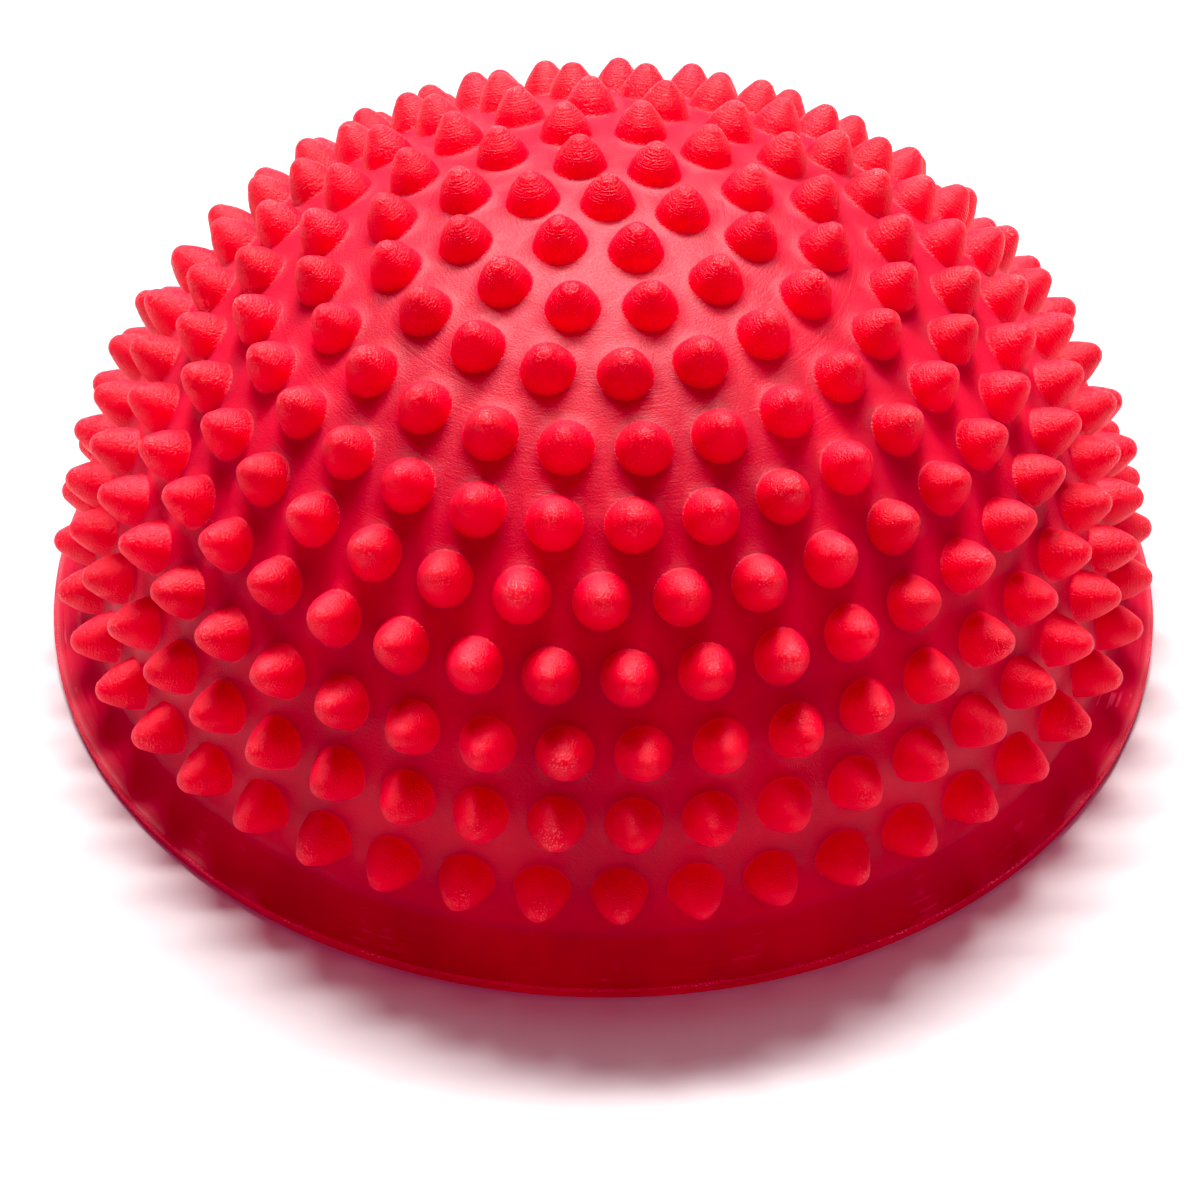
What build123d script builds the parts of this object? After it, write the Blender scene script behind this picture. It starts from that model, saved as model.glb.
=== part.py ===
from build123d import *
from math import acos, atan2, cos, degrees, hypot, pi, radians, sin, tan
import os

# Spiked half-dome balance pod: an air-filled soft-PVC dome with a flared
# flange, closed underneath by a base membrane that carries the needle valve.
# Millimetres, +Z up. The origin is the centre of the face it stands on.

# ---- driving dimensions -------------------------------------------------
FLANGE_R = 82.5          # outer radius of the upper flange
BASE_R = 82.35            # the base layer's lip sits a little inside it
DOME_R = 75.8            # dome radius where it meets the flange
DOME_RISE = 67.7         # dome apex above the flange's inner edge
CROWN_R = 82.0           # radius of the dome's flatter crown
WALL = 2.2               # shell wall
RIM_T = 1.3              # base layer at the rim, below the weld line
FLANGE_EDGE_T = 0.5      # upper flange where it thins out at its edge
FOOT_Z = 5.7             # height at which the dome rises from the flange
FLANGE_SAG = 0.5         # how hollow the flange's sloping top is
WELD_R = 74.6            # inner edge of the weld between flange and base

SPIKE_R = 3.8            # spike radius at the dome's surface
SPIKE_TIP_R = 1.9        # ball tip of every spike
SPIKE_BULGE = 0.25       # how far the flanks stand out from a straight cone
SPIKE_ROOT = 0.8         # how deep each spike's root runs into the wall
SEAM_AZIMUTH = 155.5     # the shell's seam runs down between the spikes here

# One row per ring of spikes, from the pole down to the flange: how far the
# ring's spikes lean from +Z, their number, the azimuth of the first one, in
# degrees, and their height above the dome. A spike stands square to the
# surface, so its lean also says where on the dome it is.
SPIKE_RINGS = (
    (0.0, 1, 0.0, 4.9),
    (7.4, 6, 52.0, 4.9),
    (14.5, 12, 17.0, 5.0),
    (21.7, 18, 15.0, 5.1),
    (29.4, 24, 7.5, 5.2),
    (36.8, 29, 1.5, 5.3),
    (44.2, 33, 8.0, 5.5),
    (53.7, 38, 8.0, 5.8),
    (63.3, 41, 2.5, 6.0),
    (72.6, 44, 3.5, 6.1),
    (82.6, 45, 0.0, 6.2),
)

# underside
BASE_RECESS = 1.0        # how far the membrane stands off the floor
MEMBRANE_T = 2.0         # membrane thickness
MEMBRANE_INSET = 0.6     # keeps the membrane clear of the shell's foot
STAND_RING_R = 74.0      # inner radius of the ring that it stands on
GRIP_RING_RADII = (24.0, 36.0, 48.0, 60.0)
GRIP_RING_W = 1.6

# valve, on the centre line
BARREL_R = 7.0           # housing barrel through the membrane
COLLAR_R = 13.0          # housing collar welded on top of the membrane
COLLAR_T = 1.6
VALVE_TOP_Z = 17.0
SEAL_R = 4.0             # self-sealing rubber insert
SEAL_BOTTOM_Z = 9.4
SEAL_TOP_Z = 15.4
BORE_R = 2.2             # passage that the plug's stem closes
CAP_R = 5.0              # plug head
CAP_T = 1.3
FIT_GAP = 0.06           # radial clearance of the stem in the passage
BODY_GAP = 0.3           # clearance round the plug's head
STEM_LENGTH = 6.4
STEM_LEAD_IN = 0.6       # chamfer at the stem's end
TAB_LENGTH = 6.6         # finger tab across the plug's head
TAB_W = 1.5
TAB_H = 0.8
NEEDLE_R = 0.45          # the insert's needle passage
NEEDLE_LIP = 1.4         # closed end of the needle passage

MEMBRANE_TOP_Z = BASE_RECESS + MEMBRANE_T
CAP_BOTTOM_Z = BASE_RECESS + BODY_GAP
CAP_TOP_Z = CAP_BOTTOM_Z + CAP_T

# ---- dome profile: a crown arc and a shoulder arc, tangent to each other --
crown_drop = CROWN_R - DOME_RISE
crown_excess = CROWN_R - DOME_R
shoulder_x = (crown_drop**2 - crown_excess**2) / (2 * crown_excess)
shoulder_r = DOME_R - shoulder_x
junction_lean = degrees(atan2(shoulder_x, crown_drop))


def surface_point(lean, azimuth):
    """Point of the dome where its surface faces a lean and an azimuth."""
    if degrees(lean) < junction_lean:
        radius = CROWN_R * sin(lean)
        height = CROWN_R * cos(lean) - crown_drop
    else:
        radius = shoulder_x + shoulder_r * sin(lean)
        height = shoulder_r * cos(lean)
    return (radius * cos(azimuth), radius * sin(azimuth), FOOT_Z + height)


def dome_arcs(inset):
    """Draw the dome's two arcs, moved inwards by inset."""
    CenterArc(
        (shoulder_x, FOOT_Z),
        shoulder_r - inset,
        start_angle=0,
        arc_size=90 - junction_lean,
    )
    CenterArc(
        (0, FOOT_Z - crown_drop),
        CROWN_R - inset,
        start_angle=90 - junction_lean,
        arc_size=junction_lean,
    )


def ring_places(lean, count, first):
    """A location on the dome, pointing outwards, for each spike of a ring."""
    places = []
    for number in range(count):
        azimuth = first + 2 * pi * number / count
        outwards = (sin(lean) * cos(azimuth), sin(lean) * sin(azimuth), cos(lean))
        seat = Plane(origin=surface_point(lean, azimuth), z_dir=outwards)
        places.append(Location(seat))
    return places


def spike(height):
    """One spike: a bulging cone with a ball tip, its root below the surface."""
    ball_z = height - SPIKE_TIP_R
    rise = acos(SPIKE_TIP_R / hypot(SPIKE_R, ball_z)) - atan2(ball_z, SPIKE_R)
    root_r = SPIKE_R + SPIKE_ROOT * tan(rise)
    tangent_r = SPIKE_TIP_R * cos(rise)
    tangent_z = ball_z + SPIKE_TIP_R * sin(rise)
    middle_r = (root_r + tangent_r) / 2 + 2 * SPIKE_BULGE * cos(rise)
    middle_z = (tangent_z - SPIKE_ROOT) / 2 + 2 * SPIKE_BULGE * sin(rise)
    on_ball = (rise + pi / 2) / 2
    shoulder = (SPIKE_TIP_R * cos(on_ball), ball_z + SPIKE_TIP_R * sin(on_ball))
    with BuildPart() as body:
        with BuildSketch(Plane.XZ):
            with BuildLine():
                Line((0, height), (0, -SPIKE_ROOT))
                Line((0, -SPIKE_ROOT), (root_r, -SPIKE_ROOT))
                Bezier(
                    (root_r, -SPIKE_ROOT),
                    (middle_r, middle_z),
                    (tangent_r, tangent_z),
                )
                ThreePointArc((tangent_r, tangent_z), shoulder, (0, height))
            make_face()
        revolve(axis=Axis.Z)
    return body.part


# ---- dome shell: hollow dome, flared flange and all the spikes ------------
seam = radians(SEAM_AZIMUTH)
seam_plane = Plane(
    origin=(0, 0, 0),
    x_dir=(cos(seam), sin(seam), 0),
    z_dir=(sin(seam), -cos(seam), 0),
)

with BuildPart() as dome_shell:
    with BuildSketch(seam_plane):
        with BuildLine():
            dome_arcs(0)
            ThreePointArc(
                (DOME_R, FOOT_Z),
                (
                    (DOME_R + FLANGE_R) / 2 - FLANGE_SAG / 2,
                    (FOOT_Z + RIM_T + FLANGE_EDGE_T) / 2 - FLANGE_SAG,
                ),
                (FLANGE_R, RIM_T + FLANGE_EDGE_T),
            )
            Line((FLANGE_R, RIM_T + FLANGE_EDGE_T), (FLANGE_R, RIM_T))
            Line((FLANGE_R, RIM_T), (WELD_R, RIM_T))
            Line((WELD_R, RIM_T), (DOME_R - WALL, FOOT_Z))
            dome_arcs(WALL)
            Line((0, FOOT_Z + DOME_RISE - WALL), (0, FOOT_Z + DOME_RISE))
        make_face()
    revolve(axis=Axis.Z)
    spikes = []
    for lean, count, first, height in SPIKE_RINGS:
        one = spike(height)
        for place in ring_places(radians(lean), count, radians(first)):
            spikes.append(place * one)
    add(spikes)

# ---- base membrane: rim layer, recessed disc and grip rings ---------------
with BuildPart() as base_membrane:
    with BuildSketch(Plane.XY):
        Circle(BASE_R)
    extrude(amount=RIM_T)
    with BuildSketch(Plane.XY.offset(RIM_T)):
        Circle(WELD_R - MEMBRANE_INSET)
    extrude(amount=MEMBRANE_TOP_Z - RIM_T)
    with BuildSketch(Plane.XY):
        Circle(STAND_RING_R)
    extrude(amount=BASE_RECESS, mode=Mode.SUBTRACT)
    with BuildSketch(Plane.XY):
        for ring_r in GRIP_RING_RADII:
            Circle(ring_r + GRIP_RING_W / 2)
            Circle(ring_r - GRIP_RING_W / 2, mode=Mode.SUBTRACT)
    extrude(amount=BASE_RECESS)
    with BuildSketch(Plane.XY):
        Circle(BARREL_R)
    extrude(amount=MEMBRANE_TOP_Z, mode=Mode.SUBTRACT)

# ---- valve housing: barrel, welded collar, plug seat and insert pocket ----
with BuildPart() as valve_housing:
    with BuildSketch(Plane.XY.offset(BASE_RECESS)):
        Circle(BARREL_R)
    extrude(amount=VALVE_TOP_Z - BASE_RECESS)
    with BuildSketch(Plane.XY.offset(MEMBRANE_TOP_Z)):
        Circle(COLLAR_R)
    extrude(amount=COLLAR_T)
    with BuildSketch(Plane.XY.offset(BASE_RECESS)):
        Circle(CAP_R + BODY_GAP)
    extrude(amount=CAP_TOP_Z - BASE_RECESS, mode=Mode.SUBTRACT)
    with BuildSketch(Plane.XY.offset(CAP_TOP_Z)):
        Circle(BORE_R)
    extrude(amount=SEAL_BOTTOM_Z - CAP_TOP_Z, mode=Mode.SUBTRACT)
    with BuildSketch(Plane.XY.offset(SEAL_BOTTOM_Z)):
        Circle(SEAL_R)
    extrude(amount=SEAL_TOP_Z - SEAL_BOTTOM_Z, mode=Mode.SUBTRACT)
    with BuildSketch(Plane.XY.offset(SEAL_TOP_Z)):
        Circle(BORE_R)
    extrude(amount=VALVE_TOP_Z - SEAL_TOP_Z, mode=Mode.SUBTRACT)

# ---- valve seal: rubber insert that closes round a pump needle ------------
with BuildPart() as valve_seal:
    with BuildSketch(Plane.XY.offset(SEAL_BOTTOM_Z)):
        Circle(SEAL_R)
    extrude(amount=SEAL_TOP_Z - SEAL_BOTTOM_Z)
    with BuildSketch(Plane.XY.offset(SEAL_BOTTOM_Z)):
        Circle(NEEDLE_R)
    extrude(amount=SEAL_TOP_Z - SEAL_BOTTOM_Z - NEEDLE_LIP, mode=Mode.SUBTRACT)

# ---- valve plug: flat head with a finger tab, and a stem ------------------
with BuildPart() as valve_plug:
    with BuildSketch(Plane.XY.offset(CAP_BOTTOM_Z)):
        Circle(CAP_R)
    extrude(amount=CAP_T)
    with BuildSketch(Plane.XY.offset(CAP_TOP_Z)):
        Circle(BORE_R - FIT_GAP)
    extrude(amount=STEM_LENGTH)
    stem_end = valve_plug.faces().sort_by(Axis.Z)[-1]
    chamfer(stem_end.edges(), length=STEM_LEAD_IN)
    with BuildSketch(Plane.XY.offset(CAP_BOTTOM_Z)):
        SlotOverall(TAB_LENGTH, TAB_W)
    extrude(amount=-TAB_H)

dome_shell.part.label = "dome_shell"
base_membrane.part.label = "base_membrane"
valve_housing.part.label = "valve_housing"
valve_seal.part.label = "valve_seal"
valve_plug.part.label = "valve_plug"

os.makedirs("parts", exist_ok=True)
export_step(dome_shell.part, "parts/dome_shell.step")
export_step(base_membrane.part, "parts/base_membrane.step")
export_step(valve_housing.part, "parts/valve_housing.step")
export_step(valve_seal.part, "parts/valve_seal.step")
export_step(valve_plug.part, "parts/valve_plug.step")
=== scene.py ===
"""The looks of a spiked half-dome balance pod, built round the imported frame.

Lengths are in millimetres in the frame's own coordinates (Z up, floor at 0);
new_piece() turns them into metres. Every piece is a mesh made here.
"""

import random
from math import acos, atan2, cos, hypot, pi, radians, sin

import bpy
import numpy as np
from mathutils import Matrix, Vector
from mathutils.geometry import delaunay_2d_cdt


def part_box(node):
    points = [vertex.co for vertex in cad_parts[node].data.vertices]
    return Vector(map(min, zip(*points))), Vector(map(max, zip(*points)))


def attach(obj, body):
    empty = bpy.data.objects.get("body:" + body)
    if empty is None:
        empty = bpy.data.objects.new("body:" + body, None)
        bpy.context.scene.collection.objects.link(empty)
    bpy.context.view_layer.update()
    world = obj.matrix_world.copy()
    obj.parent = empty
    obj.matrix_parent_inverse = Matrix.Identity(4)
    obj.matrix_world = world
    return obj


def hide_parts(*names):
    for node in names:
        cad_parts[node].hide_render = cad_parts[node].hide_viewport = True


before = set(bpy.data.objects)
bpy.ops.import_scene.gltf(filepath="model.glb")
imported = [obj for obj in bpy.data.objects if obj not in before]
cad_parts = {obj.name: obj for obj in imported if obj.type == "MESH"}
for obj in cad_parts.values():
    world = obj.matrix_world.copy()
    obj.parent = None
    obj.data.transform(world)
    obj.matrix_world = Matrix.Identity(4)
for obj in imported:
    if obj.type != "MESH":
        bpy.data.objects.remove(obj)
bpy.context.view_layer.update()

MM = 0.001
TURN = 2 * pi
chance = random.Random(11)

# ---- sizes read from the frame ----------------------------------------------
shell_low, shell_high = (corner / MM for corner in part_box("dome_shell"))
base_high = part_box("base_membrane")[1] / MM
housing_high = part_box("valve_housing")[1] / MM
seal_low, seal_high = (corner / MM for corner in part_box("valve_seal"))
plug_low, plug_high = (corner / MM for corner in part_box("valve_plug"))

FLANGE_R = shell_high.x
WELD_Z = shell_low.z
BASE_R = base_high.x
MEMBRANE_TOP_Z = base_high.z

# ---- spikes: lean, count, first azimuth in degrees, and height of each ring -
SPIKE_RINGS = [
    (0.0, 1, 0.0, 4.9),
    (7.4, 6, 52.0, 4.9),
    (14.5, 12, 17.0, 5.0),
    (21.7, 18, 15.0, 5.1),
    (29.4, 24, 7.5, 5.2),
    (36.8, 29, 1.5, 5.3),
    (44.2, 33, 8.0, 5.5),
    (53.7, 38, 8.0, 5.8),
    (63.3, 41, 2.5, 6.0),
    (72.6, 44, 3.5, 6.1),
    (82.6, 45, 0.0, 6.2),
]
SPIKE_R = 3.8
SPIKE_TIP_R = 2.0
SPIKE_BULGE = 0.36
SPIKE_FILLET = 0.22
ROOT_LIP = (0.04, 0.1)    # how far outside the root, and how high, its crease ends
FLANK_SHARES = (0.1, 0.3, 0.5, 0.7, 0.88)
TIP_SHARES = (0.05, 0.3, 0.55, 0.8)
SPIKE_SIDES = 22
SPIKE_H = max(height for *_, height in SPIKE_RINGS)
HEIGHT_SPREAD = 0.02      # moulding scatter, as a share of the height
LEAN_SPREAD = radians(0.7)

# ---- dome: a crown arc and a shoulder arc, tangent to each other ------------
FOOT_Z = 5.7              # where the dome meets the flange
DOME_RISE = shell_high.z - SPIKE_RINGS[0][3] - FOOT_Z
DOME_R = 75.8
CROWN_R = 82.0
WALL = 2.2
WELD_R = 74.6             # inner edge of the welded rim
FLANGE_EDGE_T = 0.5
FLANGE_SAG = 0.5          # hollow of the flange's top
EDGE_ROUND = 0.16
EDGE_BEAD = 0.1           # burr left along the trimmed edge

crown_drop = CROWN_R - DOME_RISE
crown_excess = CROWN_R - DOME_R
shoulder_x = (crown_drop**2 - crown_excess**2) / (2 * crown_excess)
shoulder_r = DOME_R - shoulder_x
junction = atan2(shoulder_x, crown_drop)
foot_arc = CROWN_R * junction + shoulder_r * (pi / 2 - junction)

SKIN_PITCH = 1.8          # spacing of the points between the spikes
FOOT_SIDES = 264
SLOPE_STEPS = 10          # rings across the flange's top
INNER_STEPS = 16          # rings up the inside of the dome
FILL_CONVEX = 0           # the triangulation's output up to its outer ring
SAME_POINT_MM = 1e-6


def dome_profile(lean, inset=0.0):
    """Radius and height of the dome where its surface faces a lean."""
    if lean < junction:
        reach = CROWN_R - inset
        return reach * sin(lean), FOOT_Z - crown_drop + reach * cos(lean)
    reach = shoulder_r - inset
    return shoulder_x + reach * sin(lean), FOOT_Z + reach * cos(lean)


def arc_at(lean):
    """Length along the dome from its top down to a lean."""
    if lean < junction:
        return CROWN_R * lean
    return CROWN_R * junction + shoulder_r * (lean - junction)


def lean_at(arc):
    """The lean at a length along the dome from its top."""
    if arc < CROWN_R * junction:
        return arc / CROWN_R
    return junction + (arc - CROWN_R * junction) / shoulder_r


def drape(point):
    """The dome's nearest point to a point, and its arc length and azimuth."""
    azimuth = atan2(point.y, point.x)
    radius = hypot(point.x, point.y)
    lean = atan2(radius, point.z - FOOT_Z + crown_drop)
    if lean > junction:
        lean = atan2(radius - shoulder_x, point.z - FOOT_Z)
    around, height = dome_profile(lean)
    seat = Vector((around * cos(azimuth), around * sin(azimuth), height))
    return seat, arc_at(lean), azimuth


class Skin:
    """Points and faces of one mesh, with three values at each point.

    arc is the length along the surface from the dome's top, or under the pod
    the distance from its axis. lift is the height as a share of a spike's, or
    on the flange the share of the way out to its edge. tone is a random number
    for each spike.
    """

    def __init__(self):
        self.points = []
        self.arc = []
        self.lift = []
        self.tone = []
        self.faces = []
        self.kinds = []

    def add(self, point, arc=0.0, lift=0.0, tone=0.5):
        """Adds a point and returns its number."""
        self.points.append(point)
        self.arc.append(arc)
        self.lift.append(lift)
        self.tone.append(tone)
        return len(self.points) - 1

    def face(self, corners, kind):
        """Adds a face of a kind, which is its material's place in the list."""
        self.faces.append(corners)
        self.kinds.append(kind)

    def ring(self, radius, height, sides, arc=0.0, ripple=None):
        """A level ring of points round Z; ripple(azimuth) adds to its radius."""
        numbers = []
        for step in range(sides):
            azimuth = TURN * step / sides
            reach = radius + (ripple(azimuth) if ripple else 0.0)
            place = Vector((reach * cos(azimuth), reach * sin(azimuth), height))
            numbers.append(self.add(place, arc))
        return numbers

    def strip(self, inner, outer, kind):
        """Joins two rings of equal counts; outer is further from the dome's top."""
        count = len(inner)
        for i in range(count):
            j = (i + 1) % count
            self.face((inner[i], outer[i], outer[j], inner[j]), kind)

    def cap(self, ring, pole, kind, flip=False):
        """Closes a ring on a single point."""
        count = len(ring)
        for i in range(count):
            j = (i + 1) % count
            corners = (ring[j], ring[i], pole) if flip else (ring[i], ring[j], pole)
            self.face(corners, kind)

    def revolve(self, profile, sides, closed=False):
        """Sweeps a profile of (radius, height) round Z, outside on its left."""
        rings = [self.ring(r, z, sides) for r, z in profile]
        pairs = list(zip(rings, rings[1:]))
        if closed:
            pairs.append((rings[-1], rings[0]))
        for first, second in pairs:
            self.strip(first, second, 0)
        return rings


def new_piece(name, skin, materials, smooth_angle=None):
    """Turns a Skin into an object in metres, with its materials and values."""
    mesh = bpy.data.meshes.new(name)
    mesh.from_pydata([p * MM for p in skin.points], [], skin.faces)
    for material in materials:
        mesh.materials.append(material)
    mesh.polygons.foreach_set("material_index", skin.kinds)
    for label in ("arc", "lift", "tone"):
        values = mesh.attributes.new(label, "FLOAT", "POINT")
        values.data.foreach_set("value", getattr(skin, label))
    mesh.update()
    piece = bpy.data.objects.new(name, mesh)
    bpy.context.scene.collection.objects.link(piece)
    mesh.shade_smooth()
    if smooth_angle is not None:
        mesh.set_sharp_from_angle(angle=smooth_angle)
    return piece


# ---- materials --------------------------------------------------------------
def put(tree, kind, sockets=None, **settings):
    """Adds a node, sets its settings, and fills or links its input sockets."""
    node = tree.nodes.new(kind)
    for label, value in settings.items():
        setattr(node, label, value)
    for label, value in (sockets or {}).items():
        if isinstance(value, bpy.types.NodeSocket):
            tree.links.new(value, node.inputs[label])
        else:
            node.inputs[label].default_value = value
    return node


def maths(tree, operation, first, second=0.0, clamp=False):
    """The result socket of a Math node."""
    sockets = {0: first, 1: second}
    node = put(tree, "ShaderNodeMath", sockets, operation=operation, use_clamp=clamp)
    return node.outputs[0]


def remap(tree, value, low, high, to_low=0.0, to_high=1.0):
    """Carries value from low..high to to_low..to_high, clamped and smooth."""
    sockets = {
        "Value": value,
        "From Min": low,
        "From Max": high,
        "To Min": to_low,
        "To Max": to_high,
    }
    node = put(tree, "ShaderNodeMapRange", sockets, interpolation_type="SMOOTHSTEP")
    return node.outputs[0]


def blend_colour(tree, share, first, second):
    """The result socket of a colour Mix node."""
    node = put(tree, "ShaderNodeMix", data_type="RGBA")
    for label, value in (("Factor", share), ("A", first), ("B", second)):
        slots = [s for s in node.inputs if s.name == label and s.enabled]
        if isinstance(value, bpy.types.NodeSocket):
            tree.links.new(value, slots[0])
        else:
            slots[0].default_value = value
    return [s for s in node.outputs if s.enabled][0]


def noise(tree, vector, pitch_mm, detail=2.0, roughness=0.5, **settings):
    """A Noise texture whose features are about pitch_mm across."""
    sockets = {"Scale": 1 / (pitch_mm * MM), "Detail": detail, "Roughness": roughness}
    if settings.get("noise_dimensions") == "1D":
        sockets["W"] = vector
    else:
        sockets["Vector"] = vector
    return put(tree, "ShaderNodeTexNoise", sockets, **settings).outputs[0]


def bump(tree, height, depth_mm, normal=None):
    """The normal socket of a Bump node whose relief is depth_mm deep."""
    sockets = {"Strength": 1.0, "Distance": depth_mm * MM, "Height": height}
    if normal is not None:
        sockets["Normal"] = normal
    return put(tree, "ShaderNodeBump", sockets).outputs[0]


def attribute(tree, label):
    """The value that the mesh holds under a label."""
    return put(tree, "ShaderNodeAttribute", attribute_name=label).outputs["Fac"]


def srgb(red, green, blue):
    """A colour given in screen values from 0 to 255, as linear RGBA."""

    def linear(value):
        share = value / 255
        if share <= 0.04045:
            return share / 12.92
        return ((share + 0.055) / 1.055) ** 2.4

    return (linear(red), linear(green), linear(blue), 1.0)


def soft_pvc(name, look):
    """Moulded soft PVC: a translucent body with grain, tool marks and wear.

    look gives its colours, its gloss and how strong each of its marks is. Some of the pale
    marks are painted highlight: glints near the spike tips and a lit line along the flange's
    edge.
    """
    material = bpy.data.materials.new(name)
    material.use_nodes = True
    tree = material.node_tree
    tree.nodes.clear()
    place = put(tree, "ShaderNodeTexCoord").outputs["Object"]
    arc = attribute(tree, "arc")
    lift = attribute(tree, "lift")
    tone = attribute(tree, "tone")

    mottle = noise(tree, place, 14.0, detail=3.0)
    grain = noise(tree, place, 0.3, detail=2.0, roughness=0.6)
    patch = remap(tree, noise(tree, place, 9.0), 0.42, 0.62)
    marks = noise(
        tree,
        maths(tree, "MULTIPLY", arc, MM),
        look["mark_pitch"],
        detail=2.0,
        roughness=0.7,
        noise_dimensions="1D",
    )
    turned = noise(
        tree,
        maths(tree, "MULTIPLY", lift, SPIKE_H * MM),
        look["turn_pitch"],
        detail=1.0,
        noise_dimensions="1D",
    )
    turned = remap(tree, turned, 0.44, 0.56)

    shade = maths(tree, "ADD", mottle, maths(tree, "MULTIPLY", tone, look["tone"]))
    shade = remap(tree, shade, 0.35, 0.65 + look["tone"])
    colour = blend_colour(tree, shade, look["deep"], look["bright"])
    # Pale specks towards the spike tips and the flange's edge: partly wear, partly painted
    # glints where those places catch the light.
    speck = remap(tree, grain, look["speck_from"], look["speck_from"] + 0.06)
    near_tip = remap(tree, lift, look["wear_and_glints_from"], 1.0)
    wear_and_highlight = maths(tree, "MULTIPLY", speck, near_tip)
    wear_and_highlight = maths(tree, "MULTIPLY", wear_and_highlight, patch)
    # A pale grainy line along the flange's edge: a painted highlight where the trimmed edge
    # catches the light, with some wear in it.
    rim = maths(tree, "MULTIPLY", remap(tree, lift, 0.96, 0.99), look["edge"])
    rim = maths(tree, "MULTIPLY", rim, remap(tree, grain, 0.35, 0.6))
    wear_and_highlight = maths(tree, "MAXIMUM", wear_and_highlight, rim)
    scuff = maths(tree, "MULTIPLY", remap(tree, marks, 0.54, 0.62), look["scuff"])
    scuff = maths(tree, "MULTIPLY", scuff, remap(tree, noise(tree, place, 6.0), 0.6, 0.68))
    wear_and_highlight = maths(tree, "MAXIMUM", wear_and_highlight, scuff)
    # One pale colour goes on the scuffs and wear, and on the painted glints and the painted
    # edge highlight.
    colour = blend_colour(tree, wear_and_highlight, colour, look["wear_and_highlight_colour"])

    gloss = remap(tree, grain, 0.3, 0.7, look["rough"] - 0.05, look["rough"] + 0.06)
    gloss = maths(tree, "ADD", gloss, maths(tree, "MULTIPLY", wear_and_highlight, 0.2), clamp=True)

    normal = bump(tree, grain, look["grain_mm"])
    marks = maths(tree, "MULTIPLY", marks, maths(tree, "ADD", patch, 0.35))
    normal = bump(tree, marks, look["mark_mm"], normal)
    turned = maths(tree, "MULTIPLY", turned, remap(tree, lift, 0.1, 0.6))
    normal = bump(tree, turned, look["turn_mm"], normal)

    shader = put(
        tree,
        "ShaderNodeBsdfPrincipled",
        {
            "Base Color": colour,
            "Roughness": gloss,
            "Normal": normal,
            "IOR": 1.5,
            "Specular IOR Level": look["specular"],
            "Subsurface Weight": look["glow"],
            "Subsurface Radius": (1.0, 0.12, 0.1),
            "Subsurface Scale": look["glow_mm"] * MM,
            "Sheen Weight": look["sheen"],
            "Sheen Roughness": look["sheen_rough"],
            "Sheen Tint": look["sheen_tint"],
        },
    )
    output = put(tree, "ShaderNodeOutputMaterial")
    tree.links.new(shader.outputs[0], output.inputs["Surface"])
    return material


SPIKE_LOOK = {
    "deep": srgb(228, 0, 34),
    "bright": srgb(252, 0, 46),
    # Pale colour of scuffs and wear specks, also used for painted glints near the spike tips.
    "wear_and_highlight_colour": srgb(255, 130, 130),
    "edge": 0.0,
    "scuff": 0.0,
    "tone": 0.25,
    "rough": 0.42,
    "specular": 0.38,
    "glow": 1.0,
    "glow_mm": 2.0,
    "sheen": 0.06,
    "sheen_rough": 0.35,
    "sheen_tint": srgb(255, 120, 130),
    "speck_from": 0.57,
    "wear_and_glints_from": 0.5,
    "grain_mm": 0.26,
    "mark_pitch": 0.5,
    "mark_mm": 0.0,
    "turn_pitch": 0.42,
    "turn_mm": 0.036,
}
DOME_LOOK = dict(
    SPIKE_LOOK,
    deep=srgb(188, 0, 36),
    bright=srgb(214, 6, 44),
    rough=0.5,
    specular=0.3,
    glow_mm=5.0,
    sheen=0.1,
    sheen_rough=0.5,
    sheen_tint=srgb(255, 140, 150),
    grain_mm=0.08,
    mark_mm=0.035,
    turn_mm=0.0,
)
FLANGE_LOOK = dict(
    SPIKE_LOOK,
    deep=srgb(186, 0, 40),
    bright=srgb(210, 2, 48),
    wear_and_highlight_colour=srgb(240, 110, 130),
    scuff=0.4,
    # edge sets how strong the painted highlight line along the flange's edge is.
    edge=0.22,
    rough=0.5,
    specular=0.25,
    glow=0.7,
    sheen=0.02,
    grain_mm=0.02,
    mark_pitch=0.8,
    mark_mm=0.06,
    turn_mm=0.0,
    speck_from=0.55,
    wear_and_glints_from=0.86,
)

DOME, SPIKE, FLANGE = 0, 1, 2
shell_materials = [
    soft_pvc("dome_skin_pvc", DOME_LOOK),
    soft_pvc("spike_pvc", SPIKE_LOOK),
    soft_pvc("flange_pvc", FLANGE_LOOK),
]


# ---- dome shell -------------------------------------------------------------
def spike_profile(tall):
    """(radius, height) of a spike's rings, from its foot to near its tip."""
    ball_z = tall - SPIKE_TIP_R
    rise = acos(SPIKE_TIP_R / hypot(SPIKE_R, ball_z)) - atan2(ball_z, SPIKE_R)
    outwards = Vector((cos(rise), sin(rise)))
    root = Vector((SPIKE_R, 0.0))
    top = SPIKE_TIP_R * outwards + Vector((0.0, ball_z))
    middle = (root + top) / 2 + 2 * SPIKE_BULGE * outwards

    rings = [(SPIKE_R + SPIKE_FILLET, 0.0), (SPIKE_R + ROOT_LIP[0], ROOT_LIP[1])]
    for share in FLANK_SHARES:
        point = root * (1 - share) ** 2 + middle * 2 * share * (1 - share)
        point += top * share**2
        rings.append((point.x, point.y))
    for share in TIP_SHARES:
        angle = rise + (pi / 2 - rise) * share
        rings.append((SPIKE_TIP_R * cos(angle), ball_z + SPIKE_TIP_R * sin(angle)))
    return rings


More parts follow.
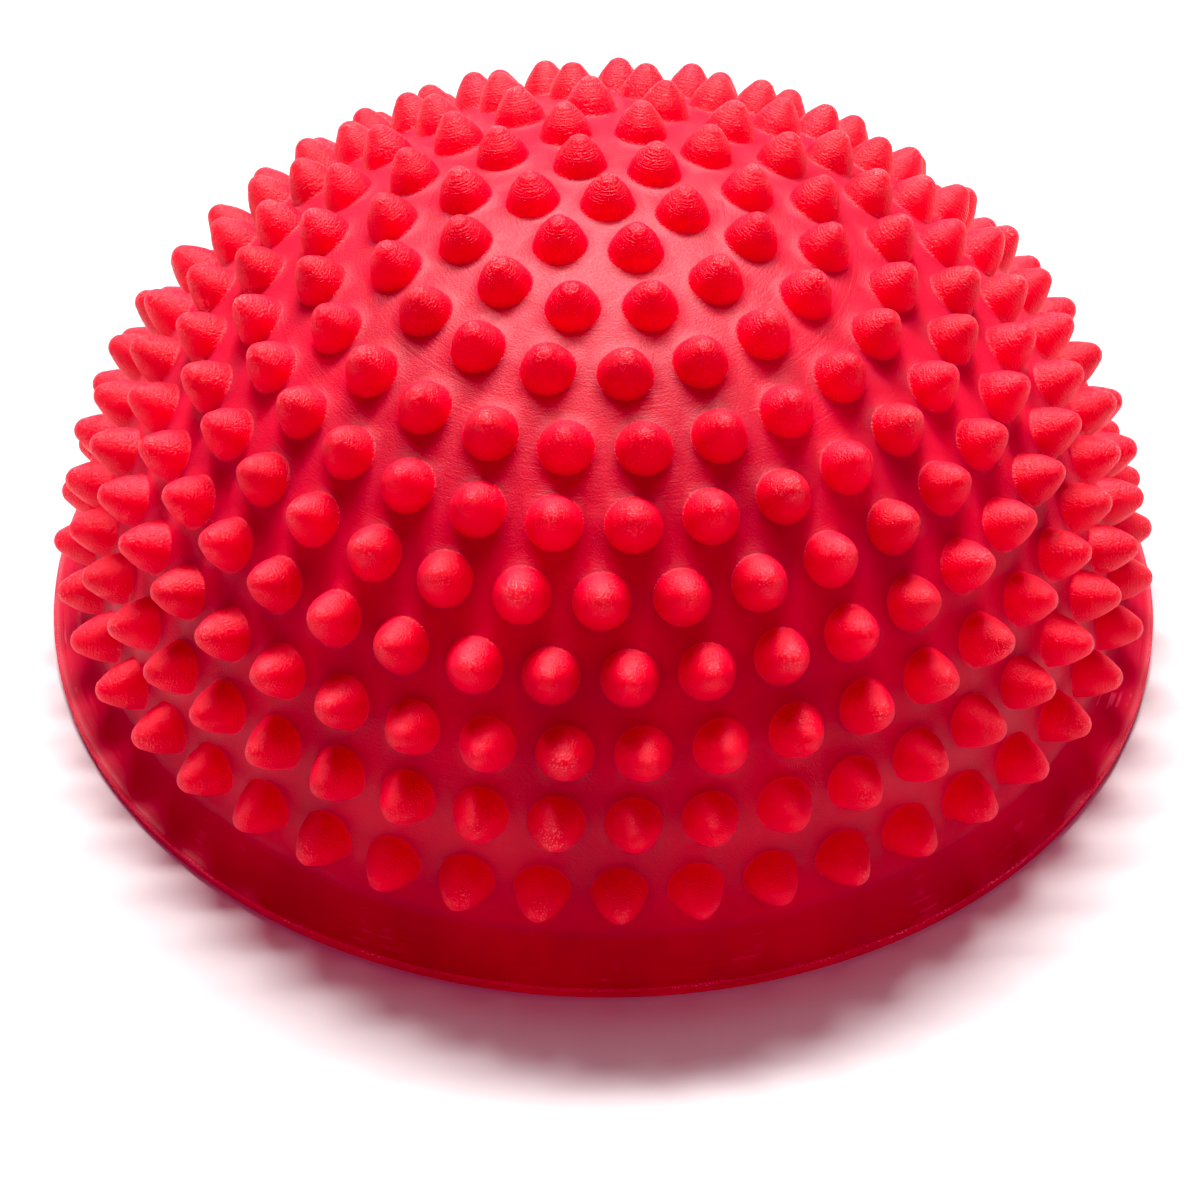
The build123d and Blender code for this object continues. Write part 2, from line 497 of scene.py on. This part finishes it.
def spike_seats():
    """Seat, axis, the two directions across, and height of every spike."""
    seats = []
    for lean_deg, count, first_deg, tall in SPIKE_RINGS:
        for number in range(count):
            lean = radians(lean_deg)
            azimuth = radians(first_deg) + TURN * number / count
            radius, height = dome_profile(lean)
            seat = Vector((radius * cos(azimuth), radius * sin(azimuth), height))
            lean += chance.uniform(-1, 1) * LEAN_SPREAD
            azimuth += chance.uniform(-1, 1) * LEAN_SPREAD
            axis = Vector((sin(lean) * cos(azimuth), sin(lean) * sin(azimuth), cos(lean)))
            down = Vector((cos(lean) * cos(azimuth), cos(lean) * sin(azimuth), -sin(lean)))
            tall_here = tall * (1 + chance.uniform(-1, 1) * HEIGHT_SPREAD)
            seats.append((seat, axis, down, axis.cross(down), tall_here))
    return seats


def add_spike(skin, place):
    """Adds one spike to the skin and returns its foot ring and that ring's map."""
    seat, axis, down, across, tall = place
    tone = chance.random()
    rings = []
    foot_map = []
    for number, (radius, height) in enumerate(spike_profile(tall)):
        ring = []
        for step in range(SPIKE_SIDES):
            angle = TURN * step / SPIKE_SIDES
            aside = radius * (cos(angle) * down + sin(angle) * across)
            ground, arc, azimuth = drape(seat + aside)
            point = ground + axis * height
            ring.append(skin.add(point, arc, height / tall, tone))
            if number == 0:
                foot_map.append((arc * cos(azimuth), arc * sin(azimuth)))
        rings.append(ring)
    for lower, upper in zip(rings, rings[1:]):
        skin.strip(upper, lower, SPIKE)
    tip = skin.add(seat + axis * tall, drape(seat)[1], 1.0, tone)
    skin.cap(rings[-1], tip, SPIKE)
    return rings[0], foot_map


def open_points(seats):
    """Points of the dome between the spikes, each with its place on the map."""
    centres = np.array([seat for seat, *_ in seats])
    clear = SPIKE_R + SPIKE_FILLET + SKIN_PITCH * 0.5
    found = []
    rows = int(foot_arc / SKIN_PITCH)
    for row in range(1, rows):
        arc = foot_arc * row / rows
        radius, height = dome_profile(lean_at(arc))
        count = max(6, round(TURN * radius / SKIN_PITCH))
        for step in range(count):
            azimuth = TURN * (step + 0.5 * (row % 2)) / count
            point = Vector((radius * cos(azimuth), radius * sin(azimuth), height))
            if np.linalg.norm(centres - np.array(point), axis=1).min() > clear:
                found.append((point, arc, azimuth))
    return found


def flange_ripple(azimuth):
    """The trimmed edge wanders a little round the flange."""
    return 0.05 * sin(3 * azimuth + 1.0) + 0.035 * sin(11 * azimuth + 0.4)


def build_shell():
    """Dome, spikes, flange and inner wall as one closed skin."""
    skin = Skin()
    seats = spike_seats()
    numbers = []
    flat = []
    for place in seats:
        foot, foot_map = add_spike(skin, place)
        numbers.extend(foot)
        flat.extend(foot_map)
    owners = [i // SPIKE_SIDES for i in range(len(numbers))]

    for point, arc, azimuth in open_points(seats):
        numbers.append(skin.add(point, arc))
        flat.append((arc * cos(azimuth), arc * sin(azimuth)))
        owners.append(-1)
    foot_ring = skin.ring(DOME_R, FOOT_Z, FOOT_SIDES, foot_arc)
    for step, number in enumerate(foot_ring):
        azimuth = TURN * step / FOOT_SIDES
        numbers.append(number)
        flat.append((foot_arc * cos(azimuth), foot_arc * sin(azimuth)))
        owners.append(-1)

    corners = [Vector(place) for place in flat]
    _, _, triangles, origins, _, _ = delaunay_2d_cdt(
        corners, [], [], FILL_CONVEX, SAME_POINT_MM
    )
    for triangle in triangles:
        trio = [origins[i][0] for i in triangle]
        group = {owners[i] for i in trio}
        if len(group) == 1 and -1 not in group:
            continue
        skin.face(tuple(numbers[i] for i in trio), DOME)

    edge_z = WELD_Z + FLANGE_EDGE_T
    start = Vector((DOME_R, FOOT_Z))
    end = Vector((FLANGE_R - 3 * EDGE_ROUND, edge_z))
    sag = Vector((-FLANGE_SAG / 2, -FLANGE_SAG))
    middle = (start + end) / 2 + 2 * sag
    slope = []
    for step in range(1, SLOPE_STEPS + 1):
        t = step / SLOPE_STEPS
        slope.append(start * (1 - t) ** 2 + middle * 2 * t * (1 - t) + end * t**2)
    outline = [(p.x, p.y) for p in slope]
    outline += [
        (FLANGE_R - 2.2 * EDGE_ROUND, edge_z + 0.02),
        (FLANGE_R - 1.2 * EDGE_ROUND, edge_z + EDGE_BEAD),
        (FLANGE_R - 0.3 * EDGE_ROUND, edge_z - 0.1 * EDGE_ROUND),
        (FLANGE_R, edge_z - EDGE_ROUND),
        (FLANGE_R, WELD_Z + 0.1),
        (FLANGE_R - 0.1, WELD_Z),
        (WELD_R, WELD_Z),
    ]
    last = foot_ring
    for radius, height in outline:
        share = max(0.0, (radius - DOME_R) / (FLANGE_R - DOME_R))
        ring = skin.ring(
            radius,
            height,
            FOOT_SIDES,
            foot_arc + radius - DOME_R,
            lambda azimuth, share=share: share * flange_ripple(azimuth),
        )
        for number in ring:
            skin.lift[number] = share
        skin.strip(last, ring, FLANGE)
        last = ring
    for step in range(INNER_STEPS):
        lean = pi / 2 * (1 - step / INNER_STEPS)
        radius, height = dome_profile(lean, WALL)
        ring = skin.ring(radius, height, FOOT_SIDES, arc_at(lean))
        skin.strip(last, ring, FLANGE)
        last = ring
    pole = skin.add(Vector((0, 0, FOOT_Z + DOME_RISE - WALL)))
    skin.cap(last, pole, FLANGE, flip=True)
    return skin


shell = new_piece("spiked_dome_shell", build_shell(), shell_materials)
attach(shell, "pod")
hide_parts("dome_shell")

# ---- base membrane ----------------------------------------------------------
BASE_RECESS = 1.0
STAND_RING_R = 74.0
GRIP_RING_RADII = (24.0, 36.0, 48.0, 60.0)
GRIP_RING_W = 1.6
BARREL_R = 7.0
MEMBRANE_R = 74.0
LIP_ROUND = 0.35
BASE_SIDES = 264


def build_base():
    """The rim layer, the recessed disc and its grip rings, round the valve."""
    grip = []
    for ring_r in reversed(GRIP_RING_RADII):
        half_w = GRIP_RING_W / 2
        grip += [
            (ring_r + half_w + 0.25, BASE_RECESS),
            (ring_r + half_w, BASE_RECESS - 0.25),
            (ring_r + half_w, 0.25),
            (ring_r + half_w - 0.25, 0.0),
            (ring_r - half_w + 0.25, 0.0),
            (ring_r - half_w, 0.25),
            (ring_r - half_w, BASE_RECESS - 0.25),
            (ring_r - half_w - 0.25, BASE_RECESS),
        ]
    outline = [
        (BARREL_R, MEMBRANE_TOP_Z),
        (MEMBRANE_R - 0.2, MEMBRANE_TOP_Z),
        (MEMBRANE_R, MEMBRANE_TOP_Z - 0.2),
        (MEMBRANE_R, WELD_Z),
        (BASE_R - 0.15, WELD_Z),
        (BASE_R, WELD_Z - 0.15),
        (BASE_R, LIP_ROUND),
        (BASE_R - 0.1, 0.1),
        (BASE_R - LIP_ROUND, 0.0),
        (STAND_RING_R + 0.25, 0.0),
        (STAND_RING_R, 0.25),
        (STAND_RING_R, BASE_RECESS - 0.2),
        (STAND_RING_R - 0.3, BASE_RECESS),
        *grip,
        (BARREL_R + 0.2, BASE_RECESS),
        (BARREL_R, BASE_RECESS + 0.2),
    ]
    skin = Skin()
    rings = skin.revolve(outline, BASE_SIDES, closed=True)
    for ring, (radius, _) in zip(rings, outline):
        for number in ring:
            skin.arc[number] = radius
    return skin


# ---- valve ------------------------------------------------------------------
COLLAR_R = housing_high.x
COLLAR_TOP_Z = MEMBRANE_TOP_Z + 1.6
VALVE_TOP_Z = housing_high.z
SEAL_R = seal_high.x
BORE_R = 2.2
CAP_R = plug_high.x
CAP_GAP = 0.3
CAP_BOTTOM_Z = BASE_RECESS + CAP_GAP
CAP_TOP_Z = CAP_BOTTOM_Z + 1.3
STEM_R = BORE_R - 0.06
STEM_LEAD_IN = 0.6
TAB_LENGTH = 6.6
TAB_W = 1.5
NEEDLE_R = 0.45
NEEDLE_LIP = 1.4
VALVE_SIDES = 72
SCALLOP_DEPTH = 0.09
SCALLOP_WAVES = 12


def build_housing():
    """Barrel and welded collar, with the plug's seat and the seal's pocket."""
    seat_r = CAP_R + CAP_GAP
    outline = [
        (BORE_R + 0.3, VALVE_TOP_Z),
        (BARREL_R - 0.5, VALVE_TOP_Z),
        (BARREL_R - 0.15, VALVE_TOP_Z - 0.15),
        (BARREL_R, VALVE_TOP_Z - 0.5),
        (BARREL_R, COLLAR_TOP_Z + 0.6),
        (BARREL_R + 0.2, COLLAR_TOP_Z + 0.2),
        (BARREL_R + 0.6, COLLAR_TOP_Z),
        (COLLAR_R - 0.5, COLLAR_TOP_Z),
        (COLLAR_R - 0.15, COLLAR_TOP_Z - 0.15),
        (COLLAR_R, COLLAR_TOP_Z - 0.5),
        (COLLAR_R, MEMBRANE_TOP_Z),
        (BARREL_R, MEMBRANE_TOP_Z),
        (BARREL_R, BASE_RECESS + 0.2),
        (BARREL_R - 0.2, BASE_RECESS),
        (seat_r + 0.25, BASE_RECESS),
        (seat_r, BASE_RECESS + 0.25),
        (seat_r, CAP_TOP_Z),
        (BORE_R, CAP_TOP_Z),
        (BORE_R, seal_low.z),
        (SEAL_R, seal_low.z),
        (SEAL_R, seal_high.z),
        (BORE_R, seal_high.z),
        (BORE_R, VALVE_TOP_Z - 0.3),
    ]
    skin = Skin()
    skin.revolve(outline, VALVE_SIDES, closed=True)
    return skin


def build_seal():
    """The rubber insert, with its blind needle passage open downwards."""
    blind_z = seal_high.z - NEEDLE_LIP
    outline = [
        (NEEDLE_R, seal_high.z),
        (SEAL_R - 0.3, seal_high.z),
        (SEAL_R, seal_high.z - 0.3),
        (SEAL_R, seal_low.z + 0.3),
        (SEAL_R - 0.3, seal_low.z),
        (NEEDLE_R + 0.2, seal_low.z),
        (NEEDLE_R, seal_low.z + 0.2),
        (NEEDLE_R, blind_z),
    ]
    skin = Skin()
    rings = skin.revolve(outline, VALVE_SIDES)
    skin.cap(rings[0], skin.add(Vector((0, 0, seal_high.z))), 0)
    skin.cap(rings[-1], skin.add(Vector((0, 0, blind_z + 0.2))), 0, flip=True)
    return skin


def scallop(depth):
    """A ripple that dents the plug's edge all round."""
    return lambda azimuth: -depth * abs(sin(SCALLOP_WAVES * azimuth))


def build_plug():
    """Head with a scalloped edge, tapered stem, and a finger tab underneath."""
    stem_top = plug_high.z
    skin = Skin()
    outline = [
        (STEM_R - STEM_LEAD_IN, stem_top),
        (STEM_R, stem_top - STEM_LEAD_IN),
        (STEM_R, CAP_TOP_Z + 0.3),
        (STEM_R + 0.02, CAP_TOP_Z),
        (CAP_R - 0.35, CAP_TOP_Z),
        (CAP_R - 0.1, CAP_TOP_Z - 0.1),
        (CAP_R, CAP_TOP_Z - 0.35),
        (CAP_R, CAP_BOTTOM_Z + 0.35),
        (CAP_R - 0.1, CAP_BOTTOM_Z + 0.1),
        (CAP_R - 0.35, CAP_BOTTOM_Z),
        (CAP_R - 1.1, CAP_BOTTOM_Z),
        (CAP_R - 1.25, CAP_BOTTOM_Z + 0.15),
        (CAP_R - 1.6, CAP_BOTTOM_Z + 0.15),
    ]
    rings = []
    for radius, height in outline:
        depth = SCALLOP_DEPTH if radius > CAP_R - 0.2 else 0.0
        rings.append(skin.ring(radius, height, VALVE_SIDES * 2, ripple=scallop(depth)))
    for first, second in zip(rings, rings[1:]):
        skin.strip(first, second, 0)
    skin.cap(rings[0], skin.add(Vector((0, 0, stem_top))), 0)
    face_z = CAP_BOTTOM_Z + 0.15
    skin.cap(rings[-1], skin.add(Vector((0, 0, face_z))), 0, flip=True)
    add_tab(skin, face_z + 0.2, plug_low.z)
    return skin


def add_tab(skin, root_z, tip_z):
    """A finger tab with round ends and softened edges, as its own closed shell."""
    end_steps = 12
    straight = (TAB_LENGTH - TAB_W) / 2
    loops = []
    levels = (
        (root_z, 0.0),
        (tip_z + 0.25, 0.02),
        (tip_z + 0.08, 0.09),
        (tip_z, 0.28),
    )
    for height, inset in levels:
        loop = []
        for side in (1, -1):
            for step in range(end_steps + 1):
                angle = side * pi / 2 - pi * step / end_steps
                reach = TAB_W / 2 - inset
                x = side * straight + reach * cos(angle)
                loop.append(skin.add(Vector((x, reach * sin(angle), height))))
        loops.append(loop)
    for upper, lower in zip(loops, loops[1:]):
        skin.strip(lower, upper, 0)
    skin.face(tuple(loops[0]), 0)
    skin.face(tuple(reversed(loops[-1])), 0)


BASE_LOOK = dict(
    FLANGE_LOOK,
    deep=srgb(192, 0, 40),
    bright=srgb(214, 2, 50),
    scuff=0.12,
    grain_mm=0.12,
    mark_pitch=0.6,
    mark_mm=0.05,
)
HOUSING_LOOK = dict(BASE_LOOK, rough=0.42, grain_mm=0.04, mark_mm=0.0)
PLUG_LOOK = dict(
    HOUSING_LOOK,
    deep=srgb(150, 0, 18),
    bright=srgb(170, 2, 26),
    rough=0.4,
)
SEAL_LOOK = dict(
    HOUSING_LOOK,
    deep=srgb(34, 34, 36),
    bright=srgb(48, 47, 48),
    wear_and_highlight_colour=srgb(90, 90, 92),
    rough=0.6,
    glow=0.0,
    sheen=0.1,
    sheen_tint=srgb(200, 200, 205),
)

base = new_piece("base_membrane_skin", build_base(), [soft_pvc("base_pvc", BASE_LOOK)])
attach(base, "pod")
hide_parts("base_membrane")

housing_pvc = soft_pvc("housing_pvc", HOUSING_LOOK)
housing = new_piece("valve_cup", build_housing(), [housing_pvc], radians(40))
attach(housing, "pod")
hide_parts("valve_housing")

seal = new_piece("needle_seal", build_seal(), [soft_pvc("seal_rubber", SEAL_LOOK)], radians(50))
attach(seal, "pod")
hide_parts("valve_seal")

plug = new_piece("stopper_plug", build_plug(), [soft_pvc("plug_pvc", PLUG_LOOK)], radians(50))
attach(plug, "plug")
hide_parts("valve_plug")

# ---- floor, light and camera ------------------------------------------------
# The floor is open under the pod, so that the underside shows from below.
FLOOR_R = 1500.0
FLOOR_LAP = 0.3           # how far the rim lies over the opening's edge
FLOOR_SIDES = 96
floor_skin = Skin()
floor_skin.revolve([(BASE_R - FLOOR_LAP, 0.0), (FLOOR_R, 0.0)], FLOOR_SIDES)
floor_material = bpy.data.materials.new("pale_floor")
floor_material.use_nodes = True
paper = floor_material.node_tree.nodes["Principled BSDF"]
paper.inputs["Base Color"].default_value = (0.84, 0.84, 0.84, 1)
paper.inputs["Roughness"].default_value = 0.9
paper.inputs["Specular IOR Level"].default_value = 0.1
floor = new_piece("floor", floor_skin, [floor_material])


def softbox(name, azimuth_deg, elevation_deg, distance, size, power, tint):
    """An area light aimed at the pod. Azimuth 0 is in front, 90 to the right."""
    lamp = bpy.data.lights.new(name, "AREA")
    lamp.shape = "RECTANGLE"
    lamp.size, lamp.size_y = size
    lamp.energy = power
    lamp.color = tint
    piece = bpy.data.objects.new(name, lamp)
    azimuth = radians(azimuth_deg)
    elevation = radians(elevation_deg)
    towards = Vector(
        (
            sin(azimuth) * cos(elevation),
            -cos(azimuth) * cos(elevation),
            sin(elevation),
        )
    )
    piece.location = towards * distance
    piece.rotation_euler = towards.to_track_quat("Z", "Y").to_euler()
    bpy.context.scene.collection.objects.link(piece)
    return piece


WHITE = (1.0, 1.0, 1.0)
# Red fill stands for the light that comes through the translucent pod.
RED_GLOW = (1.0, 0.1, 0.28)
softbox("key", 185, 56, 1.8, (1.2, 0.2), 62, WHITE)
softbox("overhead", 184, 70, 1.6, (1.0, 0.4), 3.2, WHITE)
softbox("right", 85, 35, 1.6, (0.6, 0.9), 0.8, WHITE)
# This one shines up through the floor's opening, for views from below.
softbox("under", -20, -55, 1.6, (1.0, 1.0), 30, WHITE)
glow = softbox("glow", 0, 28, 1.6, (1.6, 0.8), 9.2, RED_GLOW)
glow.visible_glossy = False

# These light the shell and the base alone, so the floor keeps its dark shadow.
pod_only = bpy.data.collections.new("pod_only")
for piece in (shell, base):
    pod_only.objects.link(piece)
for lamp in (
    softbox("pod_top", 184, 66, 1.6, (0.8, 0.4), 9, WHITE),
    softbox("pod_left", -75, 30, 1.6, (0.8, 0.8), 2, RED_GLOW),
    softbox("pod_right", 75, 30, 1.6, (0.8, 0.8), 3.5, RED_GLOW),
):
    lamp.light_linking.receiver_collection = pod_only

world = bpy.data.worlds.new("studio")
bpy.context.scene.world = world
world.use_nodes = True
sky = world.node_tree
sky.nodes.clear()
soft_light = put(sky, "ShaderNodeBackground", {"Color": (1, 1, 1, 1), "Strength": 0.02})
backdrop = put(sky, "ShaderNodeBackground", {"Color": (1, 1, 1, 1), "Strength": 1.0})
ray = put(sky, "ShaderNodeLightPath")
mixed = put(
    sky,
    "ShaderNodeMixShader",
    {0: ray.outputs["Is Camera Ray"], 1: soft_light.outputs[0], 2: backdrop.outputs[0]},
)
sky_output = put(sky, "ShaderNodeOutputWorld")
sky.links.new(mixed.outputs[0], sky_output.inputs["Surface"])

LENS = 130.6
SENSOR = 36.0
CAMERA_DISTANCE = 0.6558
CAMERA_ELEVATION = radians(42.29)
CAMERA_ROLL = radians(0.6)
AIM = Vector((-0.00049, 0.0, -0.0015))
edge_height = (WELD_Z + FLANGE_EDGE_T) * MM

camera_data = bpy.data.cameras.new("photo_view")
camera_data.lens = LENS
camera_data.sensor_width = SENSOR
camera = bpy.data.objects.new("photo_view", camera_data)
camera.location = (
    0,
    -CAMERA_DISTANCE * cos(CAMERA_ELEVATION),
    CAMERA_DISTANCE * sin(CAMERA_ELEVATION) + edge_height,
)
look_back = (camera.location - AIM).normalized()
camera.rotation_euler = (
    look_back.to_track_quat("Z", "Y").to_matrix()
    @ Matrix.Rotation(CAMERA_ROLL, 3, "Z")
).to_euler()
bpy.context.scene.collection.objects.link(camera)
bpy.context.scene.camera = camera
view = bpy.context.scene.view_settings
view.view_transform = "Standard"
view.use_curve_mapping = True
view.curve_mapping.black_level = (0.008, 0.01, 0.001)
view.curve_mapping.update()
